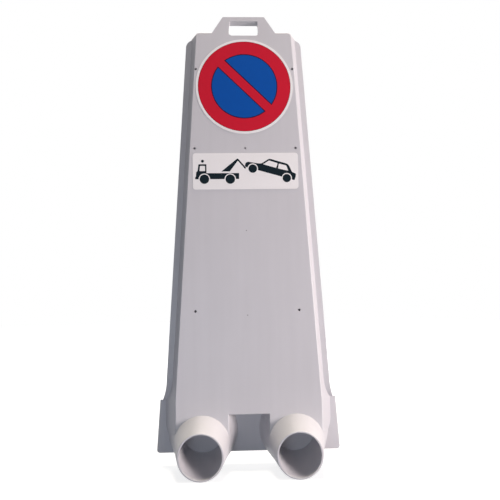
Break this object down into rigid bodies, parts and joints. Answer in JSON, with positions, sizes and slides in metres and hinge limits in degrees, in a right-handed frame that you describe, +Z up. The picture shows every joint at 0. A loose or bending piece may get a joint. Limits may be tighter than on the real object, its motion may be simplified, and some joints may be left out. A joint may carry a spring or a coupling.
{
  "type": "parking sign",
  "caption": "Hollow moulded sign panel with a hand slot, a flange, a foot plate and pipe sockets, with a printed no-parking disc and a tow-away plate on its face.",
  "frame": {"origin": "centre of the bottom of the overall box, on the surface that the pipe sockets stand on", "axes": "+Z up from the sockets to the hand slot, the printed face looks along -Y, +X to the right of someone who reads the face"},
  "size_m": [0.3702, 0.101, 0.917],
  "materials": {
    "panel_plastic": "satin",
    "disc_film": "gloss",
    "plate_film": "gloss"
  },
  "bodies": {
    "root": {"sign_panel": "panel_plastic", "no_parking_disc": "disc_film", "tow_away_plate": "plate_film"}
  },
  "joints": []
}
